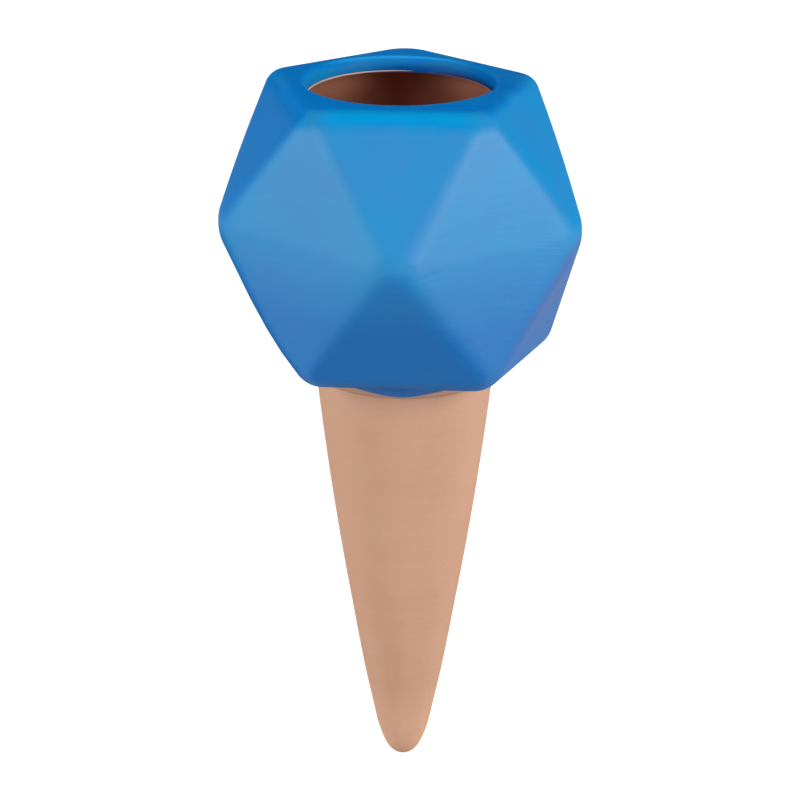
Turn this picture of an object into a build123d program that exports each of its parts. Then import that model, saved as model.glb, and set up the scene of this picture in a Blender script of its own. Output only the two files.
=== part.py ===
from build123d import *
from math import asin, atan2, cos, degrees, hypot, isclose, pi, sin, sqrt
import os

# Self watering spike: a faceted clay reservoir luted onto a hollow, pointed clay spike.
# Millimetres, +Z up. The origin is on the axis at the head's underside, where the soil stops it,
# and a corner of the waist points to -Y.

# Head, measured over its paint
SIDES = 5              # corners in each of its three rings
UPPER_HEIGHT = 30.5    # from the waist up to the rim
LOWER_HEIGHT = 33.5    # from the underside up to the waist
RIM_REACH = 11.3       # from the mouth's wall out to the end of a top corner
FOOT_REACH = 15.1      # from the spike's side out to the end of a foot corner
WAIST_SWELL = 1.5      # the waist's edges stand this far out of the line from top to foot corner
EDGE_ROUND = 6.6       # every outer edge and corner
HEAD_WALL = 3.5        # clay alone
CAVITY_ROUND = 2.8     # every edge and corner of the hollow
PAINT = 0.3            # thickness of the coat

# Mouth, measured over its paint
MOUTH_RADIUS = 20.8
LIP_ROUND = 2.0

# Joint between the head and the spike
COLLAR_HEIGHT = 2.7    # short neck below the underside
COLLAR_WALL = 2.7
SLIP = 0.4             # bed of clay slip that fills the joint
SPIGOT_WALL = 1.9

# Spike
SPIKE_RADIUS = 20.0    # at the shoulder
SPIKE_LENGTH = 92.9    # from the shoulder down to the tip
SPIKE_BOW = 880.0      # radius of the gently bowed side, seen from the front
SPIKE_WALL = 3.8
TIP_ROUND = 4.6
HOLLOW_TIP_ROUND = 2.0

# Heights and radii that follow from these
rim_height = LOWER_HEIGHT + UPPER_HEIGHT
floor_height = PAINT + HEAD_WALL
shoulder_height = -COLLAR_HEIGHT - SLIP
tip_end = shoulder_height - SPIKE_LENGTH
socket_radius = SPIKE_RADIUS - COLLAR_WALL
spigot_radius = socket_radius - SLIP
neck_radius = spigot_radius - SPIGOT_WALL

# Reach of each ring's corners from the axis, over the paint
top_reach = MOUTH_RADIUS + RIM_REACH
foot_reach = SPIKE_RADIUS + FOOT_REACH
waist_share = (UPPER_HEIGHT - EDGE_ROUND) / (rim_height - 2 * EDGE_ROUND)
straight_line = top_reach - EDGE_ROUND + (foot_reach - top_reach) * waist_share
waist_reach = (straight_line + WAIST_SWELL) / cos(pi / SIDES) + EDGE_ROUND


def corner_ring(reach, height, turn):
    """One ring of corners. With no turn a corner is at the front, with half a turn an edge is."""
    angles = [2 * pi * (k + turn) / SIDES for k in range(SIDES)]
    return [Vector(reach * sin(angle), -reach * cos(angle), height) for angle in angles]


def faceted_form(inset, rounding):
    """The head's form, drawn in by inset on all sides, with rounded edges and corners."""
    margin = inset + rounding
    top = corner_ring(top_reach - margin, rim_height - margin, 0.5)
    waist = corner_ring(waist_reach - margin, LOWER_HEIGHT, 0)
    foot = corner_ring(foot_reach - margin, margin, 0.5)
    facets = [top, foot[::-1]]
    for k in range(SIDES):
        after = (k + 1) % SIDES
        facets += [
            [waist[k], top[k], top[k - 1]],
            [waist[k], waist[after], top[k]],
            [waist[k], foot[k], waist[after]],
            [waist[k], foot[k - 1], foot[k]],
        ]
    core = Solid(Shell([Face(Wire.make_polygon(corners)) for corners in facets]))
    return offset(core, amount=rounding, kind=Kind.ARC)


def upright(radius, low, high):
    """A round column on the axis between two heights."""
    return Pos(0, 0, low) * Cylinder(radius, high - low, align=(Align.CENTER, Align.CENTER, Align.MIN))


def open_mouth(form, radius, lip):
    """Bores the mouth down through the top and rounds its lip."""
    bored = form - upright(radius, LOWER_HEIGHT, rim_height + EDGE_ROUND)
    above = LOWER_HEIGHT + UPPER_HEIGHT / 2

    def on_lip(edge):
        middle = edge @ 0.5
        on_wall = isclose(hypot(middle.X, middle.Y), radius, rel_tol=0.001)
        return on_wall and edge.bounding_box().min.Z > above

    return fillet(bored.edges().filter_by(on_lip), lip)


def head_outside(inset):
    """The head's outside, drawn in by inset, with its collar and its mouth."""
    form = faceted_form(inset, EDGE_ROUND - inset)
    collar = upright(SPIKE_RADIUS + PAINT - inset, -COLLAR_HEIGHT, floor_height)
    return open_mouth(form + collar, MOUTH_RADIUS + inset, LIP_ROUND - inset)


def bow_centre():
    """Centre of the spike's bowed side, which leaves the shoulder's rim and runs into the tip's ball."""
    rim = Vector(SPIKE_RADIUS, shoulder_height)
    ball = Vector(0, tip_end + TIP_ROUND)
    chord = rim - ball
    reach = SPIKE_BOW - TIP_ROUND
    along = (chord.length**2 + reach**2 - SPIKE_BOW**2) / (2 * chord.length)
    across = sqrt(reach**2 - along**2)
    way = chord.normalized()
    return ball + way * along + Vector(-way.Y, way.X) * across


def bowed_cone(side, tip, top):
    """A turned cone with a bowed side and a ball at its lower end, up to the height top."""
    centre = bow_centre()
    ball_height = centre.Y - sqrt((side - tip) ** 2 - centre.X**2)
    run_in = degrees(atan2(ball_height - centre.Y, -centre.X))
    upper_end = degrees(asin((top - centre.Y) / side))
    ball = CenterArc((0, ball_height), tip, -90, 90 + run_in)
    flank = CenterArc((centre.X, centre.Y), side, run_in, upper_end - run_in)
    closing = Polyline(flank @ 1, (0, top), ball @ 0)
    return revolve(Plane.XZ * make_face([ball, flank, closing]), Axis.Z)


# Reservoir head: cast clay shell with a wide mouth, and a collar and socket below
clay_outside = head_outside(PAINT)
head_hollow = faceted_form(floor_height, CAVITY_ROUND)
socket = upright(socket_radius, 2 * shoulder_height, LOWER_HEIGHT)
reservoir_head = clay_outside - head_hollow - socket

# Paint coat: a thin skin over the head's outside, lip, mouth, underside and collar
paint_coat = head_outside(0) - clay_outside - head_hollow

# Spike: hollow bowed cone with a shoulder and a spigot that ends level with the reservoir's floor
spike_hollow = bowed_cone(SPIKE_BOW - SPIKE_WALL, HOLLOW_TIP_ROUND, LOWER_HEIGHT)
spike_hollow &= upright(neck_radius, tip_end, LOWER_HEIGHT)
spigot = upright(spigot_radius, shoulder_height - SPIKE_WALL, floor_height)
spike = bowed_cone(SPIKE_BOW, TIP_ROUND, shoulder_height) + spigot - spike_hollow

# Luting ring: clay slip that fills the gap round the spigot and on the shoulder
luting_bed = upright(SPIKE_RADIUS, shoulder_height, -COLLAR_HEIGHT)
luting_sleeve = upright(socket_radius, shoulder_height, floor_height)
luting_ring = luting_bed + luting_sleeve - upright(spigot_radius, 2 * shoulder_height, LOWER_HEIGHT)

nodes = {
    "reservoir_head": reservoir_head,
    "paint_coat": paint_coat,
    "spike": spike,
    "luting_ring": luting_ring,
}
os.makedirs("parts", exist_ok=True)
for name, piece in nodes.items():
    export_step(piece, f"parts/{name}.step")
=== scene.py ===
import bpy
import numpy as np
from math import atan2, cos, pi, radians, sin
from mathutils import Matrix, Vector


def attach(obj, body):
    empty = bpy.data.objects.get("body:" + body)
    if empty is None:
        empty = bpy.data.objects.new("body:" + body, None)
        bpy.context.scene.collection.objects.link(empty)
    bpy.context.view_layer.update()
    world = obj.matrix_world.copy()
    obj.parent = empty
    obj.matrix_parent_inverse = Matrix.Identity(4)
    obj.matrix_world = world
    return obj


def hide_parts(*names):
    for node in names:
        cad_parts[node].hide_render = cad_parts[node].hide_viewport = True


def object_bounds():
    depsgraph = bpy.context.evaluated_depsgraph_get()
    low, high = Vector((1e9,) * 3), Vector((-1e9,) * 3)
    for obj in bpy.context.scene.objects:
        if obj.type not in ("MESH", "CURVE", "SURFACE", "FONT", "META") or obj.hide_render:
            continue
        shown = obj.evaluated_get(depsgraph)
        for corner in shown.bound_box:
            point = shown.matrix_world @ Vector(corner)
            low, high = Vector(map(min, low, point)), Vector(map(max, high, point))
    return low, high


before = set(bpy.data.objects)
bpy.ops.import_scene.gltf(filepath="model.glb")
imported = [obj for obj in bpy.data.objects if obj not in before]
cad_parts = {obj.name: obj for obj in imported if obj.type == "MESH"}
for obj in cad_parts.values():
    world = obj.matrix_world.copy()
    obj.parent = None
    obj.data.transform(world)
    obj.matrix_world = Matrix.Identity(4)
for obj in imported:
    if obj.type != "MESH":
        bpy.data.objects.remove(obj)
cad_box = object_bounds()


# Reservoir head: the clay body that holds the water, with three rings of five rounded corners.
# Slip-cast terracotta, bare inside, with a wide round mouth on top, and a collar and socket below.
MM = 0.001
SIDES = 5
RIM_HEIGHT = 64.0 * MM
WAIST_HEIGHT = 33.5 * MM
HEAD_WALL = 3.5 * MM
PAINT = 0.3 * MM
PAINT_GAP = 0.02 * MM           # keeps the clay's skin off the paint's
CROWN = 0.45 * MM               # bulge of the facets above the waist
CAST_SHIFT = np.array((-0.7, 0.0, 0.0)) * MM
MOUTH_MIDDLE = np.array((-1.2, 0.25)) * MM
MOUTH_RADIUS = 20.65 * MM       # over the paint
TOP_EDGE_RADIUS = 22.9 * MM     # where the top rolls over into the lip
SPIKE_RADIUS = 19.95 * MM
SOCKET_RADIUS = 17.3 * MM

# Every corner is a ball, or at the top a fan of balls, and the clay's skin is stretched over them.
# Each ring runs from the front or the front right to the right, and small shifts make it a casting.
TOP_STEPS = 7
TOP_REACH = np.array((33.35, 32.5, 33.2, 32.5, 33.35)) * MM
TOP_BALL = np.array((3.0, 4.2, 5.0, 4.2, 3.0)) * MM
TOP_BEND = np.array((3.2, 2.0, 5.0, 2.0, 3.2)) * MM
TOP_SHIFTS = ((0, 0, 0), (-1.0, 0, -0.65), (-0.45, 1.6, -0.6), (0.05, 0, -0.15), (0, 0, 0))
WAIST_REACH = 41.7 * MM
WAIST_BALL = np.full(SIDES, 10.5) * MM
WAIST_SHIFTS = ((0, 0, -0.8), (-0.3, 0, -0.7), (0, 0, 0), (0, 0, 0), (0.2, 0, 0.4))
FOOT_REACH = 35.1 * MM
FOOT_BALL = np.array((7.0, 7.0, 7.0, 9.5, 7.0)) * MM
FOOT_SHIFTS = ((0.25, 0, 0.35), (0, 0, -0.5), (0, 0, 0), (2.1, 0, 0), (0.35, 0, 0.7))


def corner_ring(turn, reach, ball, height, shifts, bend=0.0, steps=1):
    """Ball centres of one ring of corners, each bent round an arc. With no turn one is at the front."""
    angles = 2 * pi * (np.arange(SIDES)[:, None] + turn) / SIDES
    fan = angles + np.linspace(-1, 1, steps) * pi / SIDES
    middle = (reach - ball - bend / cos(pi / SIDES))[:, None]
    bend = np.reshape(bend, (-1, 1))
    across = middle * np.sin(angles) + bend * np.sin(fan)
    along = -middle * np.cos(angles) - bend * np.cos(fan)
    level = np.reshape(height, (-1, 1)) + np.zeros_like(fan)
    return np.stack([across, along, level], axis=2) + np.array(shifts)[:, None] * MM


top_corners = corner_ring(0.5, TOP_REACH, TOP_BALL, RIM_HEIGHT - TOP_BALL, TOP_SHIFTS, TOP_BEND, TOP_STEPS)
waist_corners = corner_ring(0.0, WAIST_REACH, WAIST_BALL, WAIST_HEIGHT, WAIST_SHIFTS)
foot_corners = corner_ring(0.5, FOOT_REACH, FOOT_BALL, FOOT_BALL, FOOT_SHIFTS)

# The edge from the left waist corner down to the front left foot corner bows out a little
BOWED = 4
EDGE_BOW = np.array((-0.95, -0.14, -0.48)) * MM
BOW_PLACES = np.array((0.42, 0.65, 0.82))
BOW_SHARES = np.array((0.76, 0.86, 0.64))
along_edge = (foot_corners[BOWED] - waist_corners[BOWED]) * BOW_PLACES[:, None]
bow_points = waist_corners[BOWED] + along_edge + EDGE_BOW * BOW_SHARES[:, None]
bow_balls = WAIST_BALL[BOWED] + (FOOT_BALL[BOWED] - WAIST_BALL[BOWED]) * BOW_PLACES
ball_groups = (top_corners, waist_corners, foot_corners, bow_points)
corner_points = np.concatenate([group.reshape(-1, 3) for group in ball_groups]) + CAST_SHIFT
corner_balls = np.concatenate([np.repeat(TOP_BALL, TOP_STEPS), WAIST_BALL, FOOT_BALL, bow_balls])


def add_node(tree, kind, sockets=(), **settings):
    """A node with its settings made, and its sockets set or linked by name or place."""
    node = tree.nodes.new(kind)
    for name, value in settings.items():
        setattr(node, name, value)
    for socket, value in dict(sockets).items():
        if isinstance(value, bpy.types.NodeSocket):
            tree.links.new(value, node.inputs[socket])
        else:
            node.inputs[socket].default_value = value
    return node


def calc(tree, operation, *values):
    """The result of one math node."""
    return add_node(tree, "ShaderNodeMath", enumerate(values), operation=operation).outputs[0]


def product(tree, first, *others):
    """Values multiplied together."""
    for other in others:
        first = calc(tree, "MULTIPLY", first, other)
    return first


def vector_calc(tree, operation, *vectors):
    """The outputs of one vector math node."""
    return add_node(tree, "ShaderNodeVectorMath", enumerate(vectors), operation=operation).outputs


def new_sockets(tree, direction, kinds):
    """Named sockets of a node group, and their identifiers."""
    made = {}
    for label, kind in kinds.items():
        socket = tree.interface.new_socket(label, in_out=direction, socket_type="NodeSocket" + kind)
        made[label] = socket.identifier
    return made


# The tree that draws a skin over the balls, for the clay's outside and hollow and for both faces of the paint
facet_tree = bpy.data.node_groups.new("Faceted_skin", "GeometryNodeTree")
facet_inputs = new_sockets(facet_tree, "INPUT", {
    "Corners": "Geometry",
    "Inset": "Float",
    "Around": "Int",
    "Rows": "Int",
    "Centre": "Vector",
    "Upper angle": "Float",
    "Lower angle": "Float",
    "Crown": "Float",
    "Crown height": "Float",
    "Material": "Material",
})
new_sockets(facet_tree, "OUTPUT", {"Skin": "Geometry"})
given = add_node(facet_tree, "NodeGroupInput").outputs

# A hull over the balls, each of them drawn in by the inset
BALL_FINENESS = 6
LEAST_BALL = 0.1 * MM
ball_size = add_node(facet_tree, "GeometryNodeInputNamedAttribute", {"Name": "ball"}, data_type="FLOAT")
ball_left = calc(facet_tree, "SUBTRACT", ball_size.outputs[0], given["Inset"])
ball_shape = add_node(facet_tree, "GeometryNodeMeshIcoSphere", {"Radius": 1.0, "Subdivisions": BALL_FINENESS})
balls = add_node(facet_tree, "GeometryNodeInstanceOnPoints", {
    "Points": given["Corners"],
    "Instance": ball_shape.outputs["Mesh"],
    "Scale": calc(facet_tree, "MAXIMUM", ball_left, LEAST_BALL),
})
solid_balls = add_node(facet_tree, "GeometryNodeRealizeInstances", {"Geometry": balls.outputs[0]})
hull = add_node(facet_tree, "GeometryNodeConvexHull", {"Geometry": solid_balls.outputs[0]})

# A grid of rays from the centre, each ending on the hull, becomes the skin
RAY_LENGTH = 1.0
grid = add_node(facet_tree, "GeometryNodeMeshGrid", {
    "Vertices X": calc(facet_tree, "ADD", given["Around"], 1.0),
    "Vertices Y": given["Rows"],
})
place = add_node(facet_tree, "GeometryNodeInputIndex").outputs[0]
column = calc(facet_tree, "FLOOR", calc(facet_tree, "DIVIDE", place, given["Rows"]))
row = calc(facet_tree, "SUBTRACT", place, product(facet_tree, column, given["Rows"]))
turn = product(facet_tree, calc(facet_tree, "DIVIDE", column, given["Around"]), 2 * pi)
share = calc(facet_tree, "DIVIDE", row, calc(facet_tree, "SUBTRACT", given["Rows"], 1.0))
span = calc(facet_tree, "SUBTRACT", given["Lower angle"], given["Upper angle"])
polar = calc(facet_tree, "MULTIPLY_ADD", span, share, given["Upper angle"])
level = calc(facet_tree, "SINE", polar)
upright = calc(facet_tree, "COSINE", polar)
quarter_back = calc(facet_tree, "SUBTRACT", turn, pi / 2)
ray = add_node(facet_tree, "ShaderNodeCombineXYZ", {
    "X": product(facet_tree, level, calc(facet_tree, "SINE", turn)),
    "Y": product(facet_tree, level, calc(facet_tree, "SINE", quarter_back)),
    "Z": upright,
}).outputs[0]
hit = add_node(facet_tree, "GeometryNodeRaycast", {
    "Target Geometry": hull.outputs[0],
    "Source Position": given["Centre"],
    "Ray Direction": ray,
    "Ray Length": RAY_LENGTH,
}).outputs
skin = add_node(facet_tree, "GeometryNodeSetPosition", {
    "Geometry": grid.outputs["Mesh"],
    "Position": hit["Hit Position"],
})

# The facets above the centre are crowned a little
rise = product(facet_tree, hit["Hit Distance"], upright)
climb = calc(facet_tree, "DIVIDE", rise, given["Crown height"])
climb = add_node(facet_tree, "ShaderNodeClamp", {"Value": climb}).outputs[0]
swell = calc(facet_tree, "SINE", product(facet_tree, climb, pi))
swell = product(facet_tree, swell, given["Crown"])
skin = add_node(facet_tree, "GeometryNodeSetPosition", {
    "Geometry": skin.outputs[0],
    "Offset": vector_calc(facet_tree, "MULTIPLY", ray, swell)["Vector"],
})
skin = add_node(facet_tree, "GeometryNodeRealizeInstances", {"Geometry": skin.outputs[0]})
skin = add_node(facet_tree, "GeometryNodeSetMaterial", {
    "Geometry": skin.outputs[0],
    "Material": given["Material"],
})
add_node(facet_tree, "NodeGroupOutput", {"Skin": skin.outputs[0]})


def faceted_rings(inset, around, rows, top_radius, foot_radius, material):
    """Rings of points on the faceted form, drawn in by inset, from a circle on its top to one below it."""
    corners = bpy.data.meshes.new("corners")
    corners.from_pydata(corner_points.tolist(), [], [])
    corners.attributes.new("ball", "FLOAT", "POINT").data.foreach_set("value", corner_balls)
    form = bpy.data.objects.new("corners", corners)
    bpy.context.scene.collection.objects.link(form)
    facets = form.modifiers.new("Facets", "NODES")
    facets.node_group = facet_tree
    above = RIM_HEIGHT - inset - WAIST_HEIGHT
    below = WAIST_HEIGHT - inset
    sizes = {
        "Inset": inset,
        "Around": around,
        "Rows": rows,
        "Centre": (*MOUTH_MIDDLE, WAIST_HEIGHT),
        "Upper angle": atan2(top_radius, above),
        "Lower angle": pi - atan2(foot_radius, below),
        "Crown": CROWN,
        "Crown height": above,
        "Material": material,
    }
    for label, value in sizes.items():
        facets[facet_inputs[label]] = value
    form.update_tag()
    drawn = bpy.data.meshes.new_from_object(form.evaluated_get(bpy.context.evaluated_depsgraph_get()))
    points = np.empty(3 * len(drawn.vertices))
    drawn.vertices.foreach_get("co", points)
    form.modifiers.remove(facets)
    bpy.data.objects.remove(form)
    bpy.data.meshes.remove(drawn)
    return list(points.reshape(around + 1, rows, 3)[:-1].transpose(1, 0, 2))


def turn_angles(around):
    """Even angles once round, from the front to the right."""
    return 2 * pi * np.arange(around) / around


def turned_ring(radius, height, around, middle=(0.0, 0.0)):
    """One ring of points round the axis, or round a line beside it."""
    angles = turn_angles(around)
    across = middle[0] + radius * np.sin(angles)
    along = middle[1] - radius * np.cos(angles)
    return np.stack([across, along, np.zeros(around) + height], axis=1)


def turned_rings(profile, around, middle=(0.0, 0.0)):
    """A ring for each radius and height of a profile."""
    return [turned_ring(radius, height, around, middle) for radius, height in profile]


# The lip rolls over into the mouth, and is widest at the rear left
LIP_WIDTH = 1.4 * MM
LIP_LEAN = 0.6 * MM
LIP_WIDEST = radians(205)
LIP_DROP = 3.2 * MM


def lip_rings(edge, bore, steps):
    """Rings that roll from the top's edge over the lip and into the bore."""
    around = len(edge)
    width = LIP_WIDTH + LIP_LEAN * np.cos(turn_angles(around) - LIP_WIDEST)
    profile = []
    for step in range(1, steps + 1):
        roll = pi / 2 * step / steps
        profile.append((bore + width * (1 - sin(roll)), edge[:, 2] - LIP_DROP * (1 - cos(roll))))
    return turned_rings(profile, around, MOUTH_MIDDLE)


# In the mouth the paint ends a little higher at the rear left, and hangs lower at the rear right
PAINT_END = 60.5 * MM
BARE_SIDE = radians(228)
BARE_POWER = 1.5
BARE_RISE = 0.16 * MM
HUNG_SIDE = radians(118)
HUNG_POWER = 4
HUNG_DROP = 0.35 * MM


def mouth_edge(around):
    """Heights where the paint ends inside the mouth, and how far the clay shows below it."""
    angles = turn_angles(around)
    bare = np.clip(np.cos(angles - BARE_SIDE), 0, 1) ** BARE_POWER
    hung = np.clip(np.cos(angles - HUNG_SIDE), 0, 1) ** HUNG_POWER
    return PAINT_END + BARE_RISE * bare - HUNG_DROP * hung, bare


# The collar is a short neck under the foot
COLLAR_START = SPIKE_RADIUS + 2.2 * MM      # where the underside runs into the fillet
COLLAR_FILLET = 1.6 * MM
COLLAR_END = -2.7 * MM
COLLAR_SHARES = (0.35, 0.7, 0.9, 1.0)


def collar_rings(edge, radius, end, steps):
    """Rings that run from the underside through a small fillet down the collar to its end."""
    around = len(edge)
    goal = turned_ring(radius, 0.0, around)
    rings = []
    for step in range(1, steps + 1):
        roll = pi / 2 * step / steps
        ring = edge + (goal - edge) * sin(roll)
        ring[:, 2] = edge[:, 2] - COLLAR_FILLET * (1 - cos(roll))
        rings.append(ring)
    corner = rings[-1][:, 2]
    neck_profile = [(radius, corner + (end - corner) * share) for share in COLLAR_SHARES]
    return rings + turned_rings(neck_profile, around)


SHARP_EDGE = radians(40)        # edges that turn by more stay crisp


def skin_mesh(name, rings, closed):
    """A skin through rings of points, closed end to end or with a centre point in each end."""
    rings = np.asarray(rings)
    count, around = rings.shape[:2]
    places = np.arange(count * around).reshape(count, around)
    upper = places if closed else places[:-1]
    lower = np.roll(places, -1, axis=0) if closed else places[1:]
    quads = np.stack([upper, lower, np.roll(lower, -1, axis=1), np.roll(upper, -1, axis=1)], axis=-1)
    points = rings.reshape(-1, 3).tolist()
    faces = quads.reshape(-1, 4).tolist()
    if not closed:
        points += [rings[0].mean(axis=0).tolist(), rings[-1].mean(axis=0).tolist()]
        first, last = len(points) - 2, len(points) - 1
        for here, after in zip(range(around), np.roll(range(around), -1).tolist()):
            faces.append([first, here, after])
            faces.append([last, places[-1][after].item(), places[-1][here].item()])
    mesh = bpy.data.meshes.new(name)
    mesh.from_pydata(points, [], faces)
    mesh.validate()
    mesh.shade_smooth()
    mesh.set_sharp_from_angle(angle=SHARP_EDGE)
    return mesh


def new_piece(name, mesh, material, node):
    """A finished piece that stands for its CAD node."""
    mesh.materials.append(material)
    piece = bpy.data.objects.new(name, mesh)
    bpy.context.scene.collection.objects.link(piece)
    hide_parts(node)
    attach(piece, "root")


def object_place(tree):
    """Where a point lies on the object, as a vector and as its three parts."""
    spot = add_node(tree, "ShaderNodeTexCoord").outputs["Object"]
    return spot, add_node(tree, "ShaderNodeSeparateXYZ", {0: spot}).outputs


def mix_colour(tree, factor, first, second, blend="MIX"):
    """Two colours mixed, or blended in another way."""
    sockets = {0: factor, 6: first, 7: second}
    return add_node(tree, "ShaderNodeMix", sockets, data_type="RGBA", blend_type=blend).outputs[2]


def ramp(tree, value, band, ends=(0.0, 1.0)):
    """A value that goes from one end to the other as the first one crosses a band, and no further."""
    sockets = {0: value, 1: band[0], 2: band[1], 3: ends[0], 4: ends[1]}
    return add_node(tree, "ShaderNodeMapRange", sockets).outputs[0]


def noise(tree, vector, scale, detail=2.0, roughness=0.5):
    """Soft noise, about one half."""
    sockets = {"Vector": vector, "Scale": scale, "Detail": detail, "Roughness": roughness}
    return add_node(tree, "ShaderNodeTexNoise", sockets).outputs["Fac"]


def use_group(tree, group, sockets):
    """The first output of a node group with these inputs."""
    return add_node(tree, "ShaderNodeGroup", sockets, node_tree=group).outputs[0]


NOISE_BAND = (0.3, 0.7)
BOTH_WAYS = (-1.0, 1.0)

# Pin holes, used by the clay and the paint: a share of the cells each holds one round hole
HOLE_CORE = 0.4
pin_holes = bpy.data.node_groups.new("Pin_holes", "ShaderNodeTree")
new_sockets(pin_holes, "INPUT", {"Scale": "Float", "Share": "Float", "Size": "Float"})
new_sockets(pin_holes, "OUTPUT", {"Mask": "Float"})
given = add_node(pin_holes, "NodeGroupInput").outputs
spot = add_node(pin_holes, "ShaderNodeTexCoord").outputs["Object"]
cells = add_node(pin_holes, "ShaderNodeTexVoronoi", {"Vector": spot, "Scale": given["Scale"]}).outputs
core = product(pin_holes, given["Size"], HOLE_CORE)
hole = ramp(pin_holes, cells["Distance"], (core, given["Size"]), (1.0, 0.0))
draw = add_node(pin_holes, "ShaderNodeSeparateColor", {0: cells["Color"]}).outputs[0]
chosen = calc(pin_holes, "LESS_THAN", draw, given["Share"])
add_node(pin_holes, "NodeGroupOutput", {"Mask": product(pin_holes, hole, chosen)})

# Level lines, used by the clay and the paint: what a sponge or a brush leaves as it goes round, from -1 to 1
LINE_STRETCH = (0.045, 0.045, 0.0)
level_lines = bpy.data.node_groups.new("Level_lines", "ShaderNodeTree")
new_sockets(level_lines, "INPUT", {"Rise": "Float", "Scale": "Float"})
new_sockets(level_lines, "OUTPUT", {"Lines": "Float"})
given = add_node(level_lines, "NodeGroupInput").outputs
spot = add_node(level_lines, "ShaderNodeTexCoord").outputs["Object"]
flat = vector_calc(level_lines, "MULTIPLY", spot, LINE_STRETCH)["Vector"]
lift = add_node(level_lines, "ShaderNodeCombineXYZ", {"Z": given["Rise"]}).outputs[0]
stroke = vector_calc(level_lines, "ADD", flat, lift)["Vector"]
lines = noise(level_lines, stroke, given["Scale"], detail=3.0, roughness=0.6)
add_node(level_lines, "NodeGroupOutput", {"Lines": ramp(level_lines, lines, NOISE_BAND, BOTH_WAYS)})

# Fired clay, used by the head, the spike and the slip: soft blotches, fine grain, sponge lines and pin holes
BLOTCH_SCALE = 45.0
BLOTCH_BAND = (0.35, 0.7)
GRAIN_SCALE = 2600.0
GRAIN_BAND = (0.25, 0.75)
GRAIN_DEPTH = 0.25
GRAIN_ROUGHNESS = (0.8, 0.92)
SPONGE_SCALE = 900.0
SPONGE_SWAY_SCALE = 40.0
SPONGE_SWAY = 4.0 * MM
SPONGE_TONE = 0.012
SPONGE_DEPTH = 0.05
PORES = {"Scale": 800.0, "Share": 0.04, "Size": 0.2}
PORE_CLAY = (0.22, 0.10, 0.06, 1)
PORE_TONE = 0.08
PORE_DEPTH = -0.4
fired_clay = bpy.data.node_groups.new("Fired_clay", "ShaderNodeTree")
new_sockets(fired_clay, "INPUT", {"Clay": "Color", "Bloom": "Color", "Blotch": "Float", "Speckle": "Float"})
new_sockets(fired_clay, "OUTPUT", {"Colour": "Color", "Roughness": "Float", "Height": "Float"})
given = add_node(fired_clay, "NodeGroupInput").outputs
spot, axes = object_place(fired_clay)
blotch = noise(fired_clay, spot, BLOTCH_SCALE, detail=3.0, roughness=0.55)
blotch = product(fired_clay, ramp(fired_clay, blotch, BLOTCH_BAND), given["Blotch"])
colour = mix_colour(fired_clay, blotch, given["Clay"], given["Bloom"])
fine = noise(fired_clay, spot, GRAIN_SCALE, detail=3.0, roughness=0.6)
speck = ramp(fired_clay, fine, GRAIN_BAND, BOTH_WAYS)
sway = noise(fired_clay, spot, SPONGE_SWAY_SCALE, detail=1.0)
rise = calc(fired_clay, "MULTIPLY_ADD", sway, SPONGE_SWAY, axes["Z"])
wiped = use_group(fired_clay, level_lines, {"Rise": rise, "Scale": SPONGE_SCALE})
shade = calc(fired_clay, "MULTIPLY_ADD", speck, given["Speckle"], 1.0)
shade = calc(fired_clay, "MULTIPLY_ADD", wiped, SPONGE_TONE, shade)
colour = mix_colour(fired_clay, 1.0, colour, shade, "MULTIPLY")
hole = use_group(fired_clay, pin_holes, PORES)
colour = mix_colour(fired_clay, product(fired_clay, hole, PORE_TONE), colour, PORE_CLAY)
height = calc(fired_clay, "MULTIPLY_ADD", hole, PORE_DEPTH, product(fired_clay, fine, GRAIN_DEPTH))
height = calc(fired_clay, "MULTIPLY_ADD", wiped, SPONGE_DEPTH, height)
add_node(fired_clay, "NodeGroupOutput", {
    "Colour": colour,
    "Roughness": ramp(fired_clay, fine, NOISE_BAND, GRAIN_ROUGHNESS),
    "Height": height,
})
CLAY_GLOSS = 0.15
CLAY_BUMP = 0.5
CLAY_RELIEF = 0.1 * MM


def clay_material(name, clay, bloom, blotch, speckle, tints=None):
    """Unglazed fired clay in one of its tones, with tints in places where a piece has them."""
    material = bpy.data.materials.new(name)
    material.use_nodes = True
    tree = material.node_tree
    shader = tree.nodes["Principled BSDF"]
    tones = {"Clay": clay, "Bloom": bloom, "Blotch": blotch, "Speckle": speckle}
    grain = add_node(tree, "ShaderNodeGroup", tones, node_tree=fired_clay).outputs
    colour = tints(tree, grain["Colour"]) if tints else grain["Colour"]
    relief = {"Strength": CLAY_BUMP, "Distance": CLAY_RELIEF, "Height": grain["Height"]}
    tree.links.new(colour, shader.inputs["Base Color"])
    tree.links.new(grain["Roughness"], shader.inputs["Roughness"])
    tree.links.new(add_node(tree, "ShaderNodeBump", relief).outputs[0], shader.inputs["Normal"])
    shader.inputs["Specular IOR Level"].default_value = CLAY_GLOSS
    return material


# The head's clay is painted darker and redder than the spike's as a painted shade of its hollow, but is pale
# on the collar, and pale in the mouth at the paint's edge as a painted highlight
SHADED_HEAD_CLAY = (0.62, 0.260, 0.158, 1)
SHADED_HEAD_BLOOM = (0.66, 0.295, 0.185, 1)
EDGE_HIGHLIGHT_CLAY = (0.90, 0.62, 0.50, 1)
EDGE_HIGHLIGHT_BAND = (60.1 * MM, 60.4 * MM)
EDGE_HIGHLIGHT_SHARE = 0.85
COLLAR_CLAY = (0.70, 0.37, 0.245, 1)
COLLAR_BAND = (1.0 * MM, -0.5 * MM)


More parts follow.
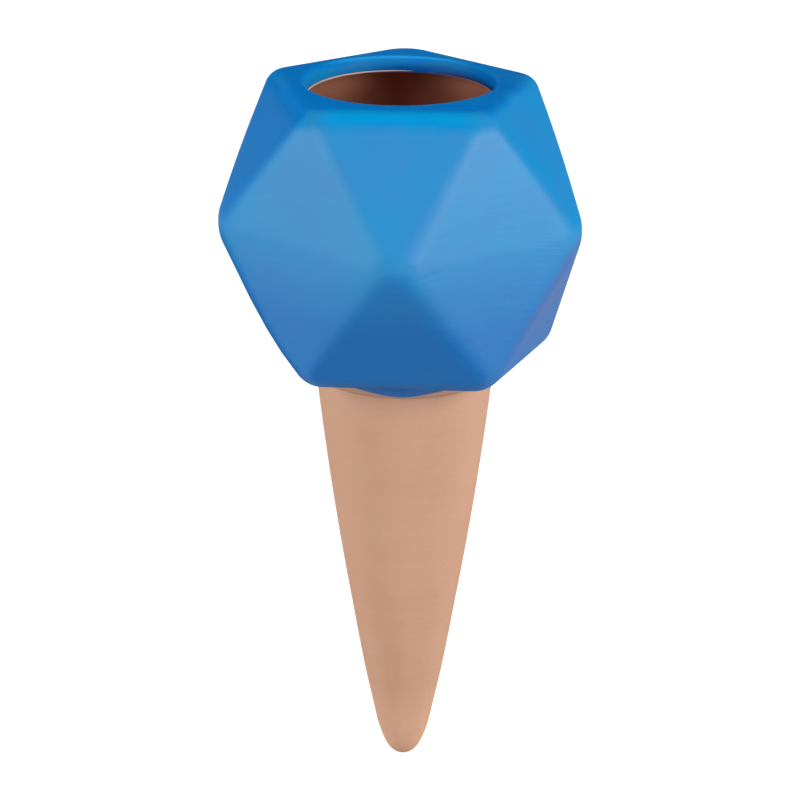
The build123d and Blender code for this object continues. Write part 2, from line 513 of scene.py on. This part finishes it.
def head_tints(tree, colour):
    """The painted highlight on the clay's edge in the mouth, and the collar."""
    spot, axes = object_place(tree)
    # Painted highlight: the clay from the paint's edge in the mouth upwards is made pale
    edge_highlight = product(tree, ramp(tree, axes["Z"], EDGE_HIGHLIGHT_BAND), EDGE_HIGHLIGHT_SHARE)
    colour = mix_colour(tree, edge_highlight, colour, EDGE_HIGHLIGHT_CLAY)
    return mix_colour(tree, ramp(tree, axes["Z"], COLLAR_BAND), colour, COLLAR_CLAY)


head_clay = clay_material(
    "Terracotta_head", SHADED_HEAD_CLAY, SHADED_HEAD_BLOOM, blotch=0.6, speckle=0.05, tints=head_tints
)

# The head's skin runs from the bare edge in the mouth over the lip, down the outside and round the collar,
# up through the socket and back up the hollow
HEAD_AROUND = 240
OUTSIDE_ROWS = 90
HOLLOW_ROWS = 110
LIP_STEPS = 10
COLLAR_STEPS = 6
JOINT_GAP = 0.02 * MM           # keeps the collar's end off the slip
SOCKET_BEVEL = 0.3 * MM
SOCKET_EASE = 0.2 * MM
HOLLOW_TOP_RADIUS = MOUTH_RADIUS + 2.2 * MM
HOLLOW_FLOOR_RADIUS = SOCKET_RADIUS + 1.2 * MM
PAINT_FEATHER = 0.25 * MM       # height over which the paint thins out to its edge in the mouth
EDGE_COVER = 0.05 * MM          # height that the edge covers of the clay's step
CLAY_BEHIND = 0.12 * MM         # from the mouth's radius back to the clay at the paint's edge
BARE_BEHIND = 0.10 * MM         # and to the bare clay below it
BARE_FULLER = 0.22 * MM         # the bare clay's extra body where it shows most
BARE_DRAFT = 0.01 * MM          # the bare clay's slope
BARE_DROP = 0.10 * MM           # its height below the paint
ARRIS_STEPS = 5
ARRIS_WIDTH = 0.5 * MM
ARRIS_HEIGHT = 0.25 * MM
clay_inset = PAINT + PAINT_GAP
clay_top_radius = TOP_EDGE_RADIUS + PAINT
outside = faceted_rings(clay_inset, HEAD_AROUND, OUTSIDE_ROWS, clay_top_radius, COLLAR_START, head_clay)
hollow_inset = PAINT + HEAD_WALL
hollow = faceted_rings(
    hollow_inset, HEAD_AROUND, HOLLOW_ROWS, HOLLOW_TOP_RADIUS, HOLLOW_FLOOR_RADIUS, head_clay
)
lip = lip_rings(outside[0], MOUTH_RADIUS + clay_inset, LIP_STEPS)
paint_edge, bare = mouth_edge(HEAD_AROUND)
bare_radius = MOUTH_RADIUS + BARE_BEHIND - BARE_FULLER * bare
bare_end = np.minimum(paint_edge, PAINT_END) - BARE_DROP
bore_profile = [
    (MOUTH_RADIUS + clay_inset, paint_edge + PAINT_FEATHER),
    (MOUTH_RADIUS + CLAY_BEHIND, paint_edge + EDGE_COVER),
    (bare_radius + BARE_DRAFT, paint_edge - BARE_DROP),
    (bare_radius, bare_end),
]
for step in range(1, ARRIS_STEPS + 1):
    roll = pi / 2 * step / ARRIS_STEPS
    bore_profile.append((bare_radius + ARRIS_WIDTH * (1 - cos(roll)), bare_end - ARRIS_HEIGHT * sin(roll)))
bore = turned_rings(bore_profile, HEAD_AROUND, MOUTH_MIDDLE)
collar = collar_rings(outside[-1], SPIKE_RADIUS, COLLAR_END + JOINT_GAP, COLLAR_STEPS)
socket_profile = [
    (SOCKET_RADIUS + SOCKET_EASE, COLLAR_END + JOINT_GAP),
    (SOCKET_RADIUS, COLLAR_END + SOCKET_BEVEL),
    (SOCKET_RADIUS, hollow_inset - SOCKET_BEVEL),
    (SOCKET_RADIUS + SOCKET_BEVEL, hollow_inset),
]
socket = turned_rings(socket_profile, HEAD_AROUND)
head_rings = bore[::-1] + lip[::-1] + outside + collar + socket + hollow[::-1]
head_mesh = skin_mesh("Clay_head", head_rings, closed=True)
new_piece("Clay_head", head_mesh, head_clay, "reservoir_head")


# Spike: the hollow pointed foot that stands in the soil and lets the water seep out.
# Slip-cast terracotta, left unglazed, with a spigot on top that sits in the head's socket.
SHOULDER = -3.1 * MM
SHOULDER_BEVEL = 0.15 * MM
TIP_END = -95.8 * MM
SPIKE_BOW = 811.0 * MM
BOW_MIDDLE = (-786.2 * MM, 87.1 * MM)
SPIKE_WALL = 3.8 * MM
SPIGOT_RADIUS = 16.9 * MM
SPIGOT_TOP = 3.8 * MM
SPIGOT_BEVEL = 0.3 * MM
SPIGOT_FILLET = 0.2 * MM
NECK_RADIUS = 15.0 * MM
SPIKE_AROUND = 200
NOSE_RADIUS = 2.75 * MM         # one millimetre above the tip
NOSE_POWER = 0.36
NOSE_END = 6.0 * MM             # above the tip, where the side starts to take over
NOSE_RUN = 8.0 * MM
SWELL = 0.2 * MM
SWELL_MIDDLE = 20.0 * MM        # above the tip
SWELL_REACH = 18.0 * MM


def spike_radius(height):
    """Radius of the spike's outside: a bowed side with a slight swell, which runs into a blunt nose."""
    above = height - TIP_END
    side = BOW_MIDDLE[0] + np.sqrt(SPIKE_BOW**2 - (height - BOW_MIDDLE[1]) ** 2)
    nose = NOSE_RADIUS * (max(above, 0.0) / MM) ** NOSE_POWER
    run = min(max((above - NOSE_END) / NOSE_RUN, 0.0), 1.0)
    swell = max(0.0, 1 - ((above - SWELL_MIDDLE) / SWELL_REACH) ** 2)
    return nose + (side - nose) * run * run * (3 - 2 * run) + SWELL * swell * swell


# The skin runs from the tip up the side, over the shoulder and the spigot, and down the hollow
SIDE_ROWS = 150
FIRST_ROW = 0.4
spike_profile = []
for row_number in range(SIDE_ROWS):
    climbed = (row_number + FIRST_ROW) / (SIDE_ROWS - 1 + FIRST_ROW)
    height = TIP_END + (SHOULDER - SHOULDER_BEVEL - TIP_END) * climbed**2
    spike_profile.append((spike_radius(height), height))
spike_profile += [
    (spike_radius(SHOULDER) - SHOULDER_BEVEL, SHOULDER),
    (SPIGOT_RADIUS + SPIGOT_FILLET, SHOULDER),
    (SPIGOT_RADIUS, SHOULDER + SPIGOT_FILLET),
    (SPIGOT_RADIUS, SPIGOT_TOP - SPIGOT_BEVEL),
    (SPIGOT_RADIUS - SPIGOT_BEVEL, SPIGOT_TOP),
    (NECK_RADIUS + SPIGOT_BEVEL, SPIGOT_TOP),
    (NECK_RADIUS, SPIGOT_TOP - SPIGOT_BEVEL),
]
SPIKE_HOLLOW_ROWS = 50
HOLLOW_START = 3.0 * MM
HOLLOW_END = -79.0 * MM
HOLLOW_NOSE = 2.0 * MM
for row_number in range(SPIKE_HOLLOW_ROWS):
    height = HOLLOW_START + (HOLLOW_END - HOLLOW_START) * row_number / SPIKE_HOLLOW_ROWS
    closing = HOLLOW_NOSE * (2 * (height - HOLLOW_END) / MM) ** 0.5
    spike_profile.append((min(NECK_RADIUS, spike_radius(height) - SPIKE_WALL, closing), height))
spike_rings = turned_rings(spike_profile, SPIKE_AROUND)

# The tip is painted paler as a painted light, and an ochre flash lies above it on the front
SPIKE_CLAY = (0.69, 0.390, 0.260, 1)
SPIKE_BLOOM = (0.72, 0.428, 0.298, 1)
LIT_TIP_CLAY = (0.82, 0.475, 0.315, 1)
LIT_TIP_BAND = (-76.0 * MM, -94.0 * MM)
FLASH_CLAY = (0.64, 0.355, 0.190, 1)
FLASH_PLACE = (-1.4 * MM, -8.0 * MM, -70.5 * MM)
FLASH_STRETCH = (3.2, 1.0, 0.75)
FLASH_BAND = (15.0 * MM, 6.0 * MM)
FLASH_SHARE = 0.5
FLASH_RAGGED = 8.0 * MM
FLASH_RAGGED_SCALE = 160.0


def spike_tints(tree, colour):
    """The tip's painted light, and the ochre flash."""
    spot, axes = object_place(tree)
    # Painted light: paler towards the tip
    colour = mix_colour(tree, ramp(tree, axes["Z"], LIT_TIP_BAND), colour, LIT_TIP_CLAY)
    away = vector_calc(tree, "SUBTRACT", spot, FLASH_PLACE)["Vector"]
    away = vector_calc(tree, "MULTIPLY", away, FLASH_STRETCH)["Vector"]
    away = vector_calc(tree, "LENGTH", away)["Value"]
    away = calc(tree, "MULTIPLY_ADD", noise(tree, spot, FLASH_RAGGED_SCALE), FLASH_RAGGED, away)
    flash = product(tree, ramp(tree, away, FLASH_BAND), FLASH_SHARE)
    return mix_colour(tree, flash, colour, FLASH_CLAY)


spike_clay = clay_material(
    "Terracotta_spike", SPIKE_CLAY, SPIKE_BLOOM, blotch=0.7, speckle=0.04, tints=spike_tints
)
spike_mesh = skin_mesh("Clay_spike", spike_rings[::-1], closed=False)
new_piece("Clay_spike", spike_mesh, spike_clay, "spike")


# Luting ring: the bed of clay slip that joins the spike to the head, round the spigot and on the shoulder.
# It fires to the same body as the rest, and shows only as a hairline under the collar.
SLIP_CLAY = (0.57, 0.32, 0.21, 1)
SLIP_BLOOM = (0.62, 0.36, 0.24, 1)
luting_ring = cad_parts["luting_ring"]
luting_ring.data.materials.clear()
luting_ring.data.materials.append(clay_material("Clay_slip", SLIP_CLAY, SLIP_BLOOM, blotch=0.5, speckle=0.06))


# Paint coat: brushed satin paint over the head's outside, its lip and mouth, its underside and collar.
# It lies 0.3 mm thick on the clay, thins out inside the mouth, and ends in an uneven edge on the collar.
blue_paint = bpy.data.materials.new("Blue_paint")
blue_paint.use_nodes = True
tree = blue_paint.node_tree
shader = tree.nodes["Principled BSDF"]
spot, axes = object_place(tree)
normal = add_node(tree, "ShaderNodeNewGeometry").outputs["Normal"]
level_spot = add_node(tree, "ShaderNodeCombineXYZ", {"X": axes["X"], "Y": axes["Y"]}).outputs[0]
from_mouth = vector_calc(tree, "DISTANCE", level_spot, (*MOUTH_MIDDLE, 0.0))["Value"]

# Cloudy tone of a hand-brushed coat, with a painted shade that deepens it towards the foot, from higher up at
# the left, and deeper on the collar
BODY_BLUE = (0.010, 0.276, 0.615, 1)
VIOLET_BLUE = (0.020, 0.255, 0.600, 1)
CLOUD_SCALE = 75.0
CLOUD_BAND = (0.38, 0.66)
FOOT_SHADE_BLUE = (0.002, 0.172, 0.515, 1)
FOOT_BAND = (35.0 * MM, 14.0 * MM)
FOOT_LEAN_BAND = (-28.0 * MM, -5.0 * MM)
FOOT_LEAN = (-4.5 * MM, 0.0)
COLLAR_BLUE = (0.022, 0.146, 0.435, 1)
COLLAR_BLUE_BAND = (0.2 * MM, -0.6 * MM)
cloud = ramp(tree, noise(tree, spot, CLOUD_SCALE), CLOUD_BAND)
colour = mix_colour(tree, cloud, BODY_BLUE, VIOLET_BLUE)
# Painted shade: deeper towards the foot, starting higher at the left
shade_level = calc(tree, "ADD", axes["Z"], ramp(tree, axes["X"], FOOT_LEAN_BAND, FOOT_LEAN))
colour = mix_colour(tree, ramp(tree, shade_level, FOOT_BAND), colour, FOOT_SHADE_BLUE)
colour = mix_colour(tree, ramp(tree, axes["Z"], COLLAR_BLUE_BAND), colour, COLLAR_BLUE)


def outward(azimuth, elevation):
    """Direction from the object, with azimuth 0 at the front and 90 degrees at the right."""
    a, e = radians(azimuth), radians(elevation)
    return Vector((sin(a) * cos(e), -cos(a) * cos(e), sin(e)))


# Painted shade on single facets: the upper left, the lower front and the lower left are darkened, and the
# lower right is darkened and tinted violet as a painted reflection, more so higher up
FACET_BAND = (0.88, 0.98)
LEFT_UPPER = outward(-72, 27)
RIGHT_UPPER = outward(72, 27)
LEFT_LOWER = outward(-72, -24)
FRONT_LOWER = outward(0, -24)
RIGHT_LOWER = outward(72, -24)
LEFT_SHADE_BLUE = (0.004, 0.195, 0.570, 1)
LOWER_SHADE_BLUE = (0.020, 0.125, 0.440, 1)
SHEEN_AND_SHADE_BLUE = (0.072, 0.150, 0.415, 1)
SHEEN_AND_SHADE_BAND = (7.0 * MM, 19.0 * MM)
SHEEN_AND_SHADE_SHARES = (0.3, 0.75)


def facet(tree, normal, direction, band=FACET_BAND):
    """One on the facet or edge that faces a direction, and nought past its limits."""
    match = vector_calc(tree, "DOT_PRODUCT", normal, direction)["Value"]
    return ramp(tree, match, band)


for direction, painted_share, tone in (
    (LEFT_UPPER, 1.0, LEFT_SHADE_BLUE),
    (FRONT_LOWER, 0.32, LOWER_SHADE_BLUE),
    (RIGHT_LOWER, ramp(tree, axes["Z"], SHEEN_AND_SHADE_BAND, SHEEN_AND_SHADE_SHARES), SHEEN_AND_SHADE_BLUE),
    (LEFT_LOWER, 0.35, LOWER_SHADE_BLUE),
):
    colour = mix_colour(tree, product(tree, facet(tree, normal, direction), painted_share), colour, tone)

# Painted light: a lighter, more saturated band below the front of the rim, whose edges wander
WANDER_SCALE = 90.0
WANDER = (-0.7 * MM, 0.7 * MM)
FRONT_BAND_BLUE = (0.0, 0.305, 0.668, 1)
FRONT_BAND_HALF = (18.0 * MM, 13.0 * MM)
FRONT_BAND_FRONT = (-14.0 * MM, -19.0 * MM)
FRONT_BAND_HEIGHTS = (60.5 * MM, 61.9 * MM)
wander = ramp(tree, noise(tree, spot, WANDER_SCALE), NOISE_BAND, WANDER)
waved = calc(tree, "ADD", axes["Z"], wander)
aside = calc(tree, "ABSOLUTE", calc(tree, "SUBTRACT", axes["X"], CAST_SHIFT[0]))
aside = ramp(tree, calc(tree, "ADD", aside, wander), FRONT_BAND_HALF)
front_band = product(tree, aside, ramp(tree, axes["Y"], FRONT_BAND_FRONT), ramp(tree, waved, FRONT_BAND_HEIGHTS))
colour = mix_colour(tree, front_band, colour, FRONT_BAND_BLUE)

# A painted shade on the rim, deeper and bluer than the body, with a ragged front edge, and darker still at
# the right as more painted shade
RIM_SHADE_BLUE = (0.0005, 0.232, 0.710, 1)
RIM_BAND = (62.0 * MM, 63.7 * MM)
RIM_FRONT = (-25.8 * MM, -24.4 * MM)
RIM_WANDER = 0.6
RAGGED_SCALE = 330.0
RAGGED = (-0.8 * MM, 0.8 * MM)
LIP_SHADE_BLUE = (0.0, 0.110, 0.415, 1)
RIGHT_SHADE_SIDE = (16.0 * MM, 26.0 * MM)
RIGHT_SHADE_SHARES = (0.0, 0.32)
ragged = ramp(tree, noise(tree, spot, RAGGED_SCALE, detail=3.0, roughness=0.6), NOISE_BAND, RAGGED)
before = calc(tree, "ADD", calc(tree, "MULTIPLY_ADD", wander, RIM_WANDER, axes["Y"]), ragged)
rim = product(tree, ramp(tree, waved, RIM_BAND), ramp(tree, before, RIM_FRONT))
colour = mix_colour(tree, rim, colour, RIM_SHADE_BLUE)
# Painted shade: the rim darker at the right
right_shade = product(tree, rim, ramp(tree, axes["X"], RIGHT_SHADE_SIDE, RIGHT_SHADE_SHARES))
colour = mix_colour(tree, right_shade, colour, LIP_SHADE_BLUE)

# Inside the mouth a painted shade darkens the coat below the lip, a painted highlight lies on the rear lip's
# crest, and a painted shadow darkens the coat where it hangs
INSIDE_BAND = (23.2 * MM, 22.4 * MM)
ABOVE_COLLAR = (40.0 * MM, 50.0 * MM)
BELOW_LIP = (63.2 * MM, 61.0 * MM)
BELOW_SIDE = (-18.0 * MM, -2.0 * MM)
BELOW_SHARES = (0.15, 1.0)
CREST_HIGHLIGHT_BLUE = (0.020, 0.380, 0.860, 1)
CREST_FLAT = (0.99, 0.94)
CREST_STEEP = (0.65, 0.85)
CREST_REAR = (14.0 * MM, 20.0 * MM)
CREST_SKEW = -0.12
SHADE_BLUE = (0.010, 0.035, 0.150, 1)
HUNG_SHADOW_BAND = (61.1 * MM, 60.4 * MM)
HUNG_SHADOW_RIGHT = (5.0 * MM, 11.0 * MM)
inside = product(tree, ramp(tree, from_mouth, INSIDE_BAND), ramp(tree, axes["Z"], ABOVE_COLLAR))
# Painted shade below the lip, light at the left and full at the right
below_lip = ramp(tree, axes["Z"], BELOW_LIP)
below_lip = product(tree, inside, below_lip, ramp(tree, axes["X"], BELOW_SIDE, BELOW_SHARES))
colour = mix_colour(tree, below_lip, colour, LIP_SHADE_BLUE)
upward = add_node(tree, "ShaderNodeSeparateXYZ", {0: normal}).outputs["Z"]
# Painted highlight along the rear lip's crest
rolling = product(tree, ramp(tree, upward, CREST_FLAT), ramp(tree, upward, CREST_STEEP))
behind = calc(tree, "MULTIPLY_ADD", axes["X"], CREST_SKEW, axes["Y"])
crest_highlight = product(tree, rolling, inside, ramp(tree, behind, CREST_REAR))
colour = mix_colour(tree, crest_highlight, colour, CREST_HIGHLIGHT_BLUE)
# Painted shadow under the coat's hanging edge at the right
hung = product(tree, inside, ramp(tree, axes["Z"], HUNG_SHADOW_BAND), ramp(tree, axes["X"], HUNG_SHADOW_RIGHT))
colour = mix_colour(tree, hung, colour, SHADE_BLUE)

# Brush lines run level round the head, and in circles round the mouth on the rim
BRUSH_SCALE = 1000.0
BRUSH_SWAY_SCALE = 28.0
BRUSH_SWAY = 6.0 * MM
BRUSH_SPREAD = 0.4
BRUSH_TONE = 0.07
PATCH_SCALE = 55.0
PATCH_BAND = (0.40, 0.62)
PATCH_SIDE = (-12.0 * MM, 12.0 * MM)
PATCH_SHARES = (0.45, 1.0)
RUN_SCALE = 520.0
RUN_BAND = (62.2 * MM, 61.4 * MM)
RUN_SHARE = 0.6
sway = product(tree, noise(tree, spot, BRUSH_SWAY_SCALE, detail=1.0), BRUSH_SWAY)
climb = calc(tree, "ADD", calc(tree, "MULTIPLY_ADD", from_mouth, BRUSH_SPREAD, axes["Z"]), sway)
patch = ramp(tree, noise(tree, spot, PATCH_SCALE, detail=1.0), PATCH_BAND)
patch = product(tree, patch, ramp(tree, axes["X"], PATCH_SIDE, PATCH_SHARES))
bristle = use_group(tree, level_lines, {"Rise": climb, "Scale": BRUSH_SCALE})
bristle = product(tree, bristle, patch)
streaked = calc(tree, "MULTIPLY_ADD", bristle, BRUSH_TONE, 1.0)
colour = mix_colour(tree, 1.0, colour, streaked, "MULTIPLY")
run = ramp(tree, use_group(tree, level_lines, {"Rise": climb, "Scale": RUN_SCALE}), NOISE_BAND)
run = product(tree, run, front_band, ramp(tree, waved, RUN_BAND), RUN_SHARE)
colour = mix_colour(tree, run, colour, RIM_SHADE_BLUE)

# Pin holes of the dried coat, few and near the rim, and the soft swells that it dried in
PIT_BLUE = (0.004, 0.120, 0.330, 1)
PIT_BAND = (57.0 * MM, 61.0 * MM)
PIT_SHARES = (0.0, 0.14)
PIT_SCALE = 330.0
PIT_SIZE = 0.09
PIT_TONE = 0.7
PIT_DEPTH = 0.8
SWELLS_SCALE = 170.0
SWELLS_HEIGHT = 1.2
BRUSH_HEIGHT = 0.24
PAINT_BUMP = 0.6
PAINT_RELIEF = 0.12 * MM
few = ramp(tree, axes["Z"], PIT_BAND, PIT_SHARES)
pit = use_group(tree, pin_holes, {"Scale": PIT_SCALE, "Share": few, "Size": PIT_SIZE})
colour = mix_colour(tree, product(tree, pit, PIT_TONE), colour, PIT_BLUE)
swells = product(tree, noise(tree, spot, SWELLS_SCALE), SWELLS_HEIGHT)
relief = calc(tree, "MULTIPLY_ADD", bristle, BRUSH_HEIGHT, swells)
relief = calc(tree, "SUBTRACT", relief, product(tree, pit, PIT_DEPTH))
bump = add_node(tree, "ShaderNodeBump", {
    "Strength": PAINT_BUMP,
    "Distance": PAINT_RELIEF,
    "Height": relief,
})

# A satin sheen that fades at grazing angles, and is duller on some coats, on the rim and on one ridge
BRUSH_ROUGHNESS = (0.46, 0.54)
SHEEN_BAND = (0.35, 0.75)
SHEEN = (0.48, 0.05)
DULL_RIM_BAND = (59.2 * MM, 61.2 * MM)
DULL_RIM = 0.9
LEFT_RIDGE = outward(-18, 13)
RIDGE_BAND = (0.94, 0.99)
grazing = add_node(tree, "ShaderNodeLayerWeight", {"Blend": 0.5}).outputs["Facing"]
dull = product(tree, ramp(tree, waved, DULL_RIM_BAND), DULL_RIM)
for direction, band, dullness in (
    (FRONT_LOWER, FACET_BAND, 0.55),
    (RIGHT_UPPER, FACET_BAND, 0.85),
    (LEFT_LOWER, FACET_BAND, 0.95),
    (LEFT_RIDGE, RIDGE_BAND, 0.32),
):
    dull = calc(tree, "MAXIMUM", dull, product(tree, facet(tree, normal, direction, band), dullness))
sheen = product(tree, ramp(tree, grazing, SHEEN_BAND, SHEEN), calc(tree, "SUBTRACT", 1.0, dull))
tree.links.new(colour, shader.inputs["Base Color"])
tree.links.new(ramp(tree, bristle, BOTH_WAYS, BRUSH_ROUGHNESS), shader.inputs["Roughness"])
tree.links.new(bump.outputs[0], shader.inputs["Normal"])
tree.links.new(sheen, shader.inputs["Specular IOR Level"])

# The coat's skin runs from its edge in the mouth over the lip, down the outside to its edge on the collar,
# and back up against the clay
COAT_AROUND = 320
OUTER_ROWS = 170
OUTER_LIP_STEPS = 18
OUTER_COLLAR_STEPS = 8
INNER_ROWS = 48
INNER_LIP_STEPS = 6
INNER_COLLAR_STEPS = 4
COAT_EDGE_ROUND = 0.15 * MM
COAT_EDGE_FACE = 0.02 * MM
COAT_EDGE_BACK = 0.09 * MM
COLLAR_COAT = PAINT + 0.05 * MM
COLLAR_COAT_BACK = 0.06 * MM
COLLAR_BARE = 0.66 * MM
COLLAR_WAVE = 0.51 * MM
outer = faceted_rings(0.0, COAT_AROUND, OUTER_ROWS, TOP_EDGE_RADIUS, COLLAR_START, blue_paint)
inner = faceted_rings(PAINT, COAT_AROUND, INNER_ROWS, TOP_EDGE_RADIUS + PAINT, COLLAR_START, blue_paint)
paint_edge = mouth_edge(COAT_AROUND)[0]
outer_bore = turned_rings([
    (MOUTH_RADIUS, paint_edge + COAT_EDGE_ROUND),
    (MOUTH_RADIUS + COAT_EDGE_FACE, paint_edge),
], COAT_AROUND, MOUTH_MIDDLE)
inner_bore = turned_rings([
    (MOUTH_RADIUS + PAINT, paint_edge + PAINT_FEATHER),
    (MOUTH_RADIUS + COAT_EDGE_BACK, paint_edge + COAT_EDGE_FACE),
], COAT_AROUND, MOUTH_MIDDLE)
outer_lip = lip_rings(outer[0], MOUTH_RADIUS, OUTER_LIP_STEPS)
inner_lip = lip_rings(inner[0], MOUTH_RADIUS + PAINT, INNER_LIP_STEPS)
collar_edge = COLLAR_END + COLLAR_BARE - COLLAR_WAVE * np.cos(SIDES * turn_angles(COAT_AROUND))
outer_collar = collar_rings(outer[-1], SPIKE_RADIUS + COLLAR_COAT, collar_edge, OUTER_COLLAR_STEPS)
inner_collar = collar_rings(inner[-1], SPIKE_RADIUS + COLLAR_COAT_BACK, collar_edge, INNER_COLLAR_STEPS)
coat_rings = outer_bore[::-1] + outer_lip[::-1] + outer + outer_collar
coat_rings += inner_collar[::-1] + inner[::-1] + inner_lip + inner_bore
coat_mesh = skin_mesh("Paint_coat", coat_rings, closed=True)
new_piece("Paint_coat", coat_mesh, blue_paint, "paint_coat")


# Studio: a plain pale floor at the tip's level and a dim room, both white where they are looked at.
# Soft boxes stand on the left and the right, a weak one hangs above, and a low one behind shows in no gloss.
FLOOR_HALF = 12.0
FLOOR_CORNERS = ((-1, -1), (1, -1), (1, 1), (-1, 1))
FLOOR_GREY = (0.45, 0.45, 0.45, 1)
FLOOR_GLOW = 0.82
WHITE = (1, 1, 1, 1)
floor_height = cad_box[0][2]
floor_points = [(x * FLOOR_HALF, y * FLOOR_HALF, floor_height) for x, y in FLOOR_CORNERS]
floor_mesh = bpy.data.meshes.new("Floor")
floor_mesh.from_pydata(floor_points, [], [(0, 1, 2, 3)])
floor = bpy.data.objects.new("Floor", floor_mesh)
bpy.context.scene.collection.objects.link(floor)


def seen_directly(tree, gloss=1.0):
    """One where the camera sees the background, straight or through glass, and gloss where a gloss does."""
    path = add_node(tree, "ShaderNodeLightPath").outputs
    straight = calc(tree, "MAXIMUM", path["Is Camera Ray"], path["Is Transmission Ray"])
    return calc(tree, "MAXIMUM", straight, product(tree, path["Is Glossy Ray"], gloss))


paper = bpy.data.materials.new("Pale_paper")
paper.use_nodes = True
tree = paper.node_tree
tree.nodes.clear()
lit = add_node(tree, "ShaderNodeBsdfDiffuse", {"Color": FLOOR_GREY})
glow = product(tree, seen_directly(tree), FLOOR_GLOW)
white = add_node(tree, "ShaderNodeEmission", {"Color": WHITE, "Strength": glow})
surface = add_node(tree, "ShaderNodeAddShader", {0: lit.outputs[0], 1: white.outputs[0]})
add_node(tree, "ShaderNodeOutputMaterial", {"Surface": surface.outputs[0]})
floor_mesh.materials.append(paper)

# The room lights the object a little from all round, and a gloss sees it white only near the horizon
ROOM_FILL = 0.10
HORIZON_BAND = (0.0, 0.03)
world = bpy.data.worlds.new("Room")
bpy.context.scene.world = world
world.use_nodes = True
tree = world.node_tree
tree.nodes.clear()
soft = add_node(tree, "ShaderNodeLightPath").outputs["Is Diffuse Ray"]
way = add_node(tree, "ShaderNodeTexCoord").outputs["Generated"]
heading = add_node(tree, "ShaderNodeSeparateXYZ", {0: way}).outputs
low = ramp(tree, heading["Z"], HORIZON_BAND, (1.0, 0.0))
dim = add_node(tree, "ShaderNodeBackground", {"Color": WHITE, "Strength": product(tree, soft, ROOM_FILL)})
white = add_node(tree, "ShaderNodeBackground", {"Color": WHITE, "Strength": 1.0})
room = add_node(tree, "ShaderNodeMixShader", {
    0: seen_directly(tree, low),
    1: dim.outputs[0],
    2: white.outputs[0],
})
add_node(tree, "ShaderNodeOutputWorld", {"Surface": room.outputs[0]})

BOX_DISTANCE = 1.3
head_middle = Vector((0, 0, WAIST_HEIGHT))


def soft_box(name, azimuth, elevation, width, height, power):
    """A soft box that faces the head's middle."""
    lamp = bpy.data.lights.new(name, "AREA")
    lamp.shape = "RECTANGLE"
    lamp.size = width
    lamp.size_y = height
    lamp.energy = power
    box = bpy.data.objects.new(name, lamp)
    back = outward(azimuth, elevation)
    box.location = head_middle + back * BOX_DISTANCE
    box.rotation_euler = back.to_track_quat("Z", "Y").to_euler()
    bpy.context.scene.collection.objects.link(box)
    return box


soft_box("Left_box", azimuth=-57, elevation=12, width=0.75, height=1.0, power=13.7)
soft_box("Right_box", azimuth=64, elevation=15, width=0.75, height=0.9, power=14.8)
soft_box("Front_box", azimuth=0, elevation=76, width=0.8, height=0.6, power=2.8)
rear_box = soft_box("Rear_box", azimuth=180, elevation=7, width=1.2, height=0.8, power=8.0)
rear_box.visible_camera = False
rear_box.visible_glossy = False

# The camera stands a little to the right of the front and above, and its focal length is in pixels
CAMERA_AZIMUTH = 2.3
CAMERA_ELEVATION = 16.85
CAMERA_DISTANCE = 1.0
CAMERA_ROLL = radians(0.222)
AIM = Vector((-1.0 * MM, 0, -10.28 * MM))
SENSOR_WIDTH = 36.0
PICTURE_PIXELS = 800
FOCAL_PIXELS = 4517
FAR_CLIP = 100.0
camera = bpy.data.objects.new("Camera", bpy.data.cameras.new("Camera"))
camera.data.sensor_width = SENSOR_WIDTH
camera.data.lens = SENSOR_WIDTH * FOCAL_PIXELS / PICTURE_PIXELS
camera.data.clip_end = FAR_CLIP
camera.location = head_middle + outward(CAMERA_AZIMUTH, CAMERA_ELEVATION) * CAMERA_DISTANCE
back = (camera.location - AIM).normalized()
level_turn = back.to_track_quat("Z", "Y").to_matrix()
camera.rotation_euler = (level_turn @ Matrix.Rotation(CAMERA_ROLL, 3, "Z")).to_euler()
bpy.context.scene.collection.objects.link(camera)
bpy.context.scene.camera = camera
bpy.context.scene.view_settings.view_transform = "Standard"
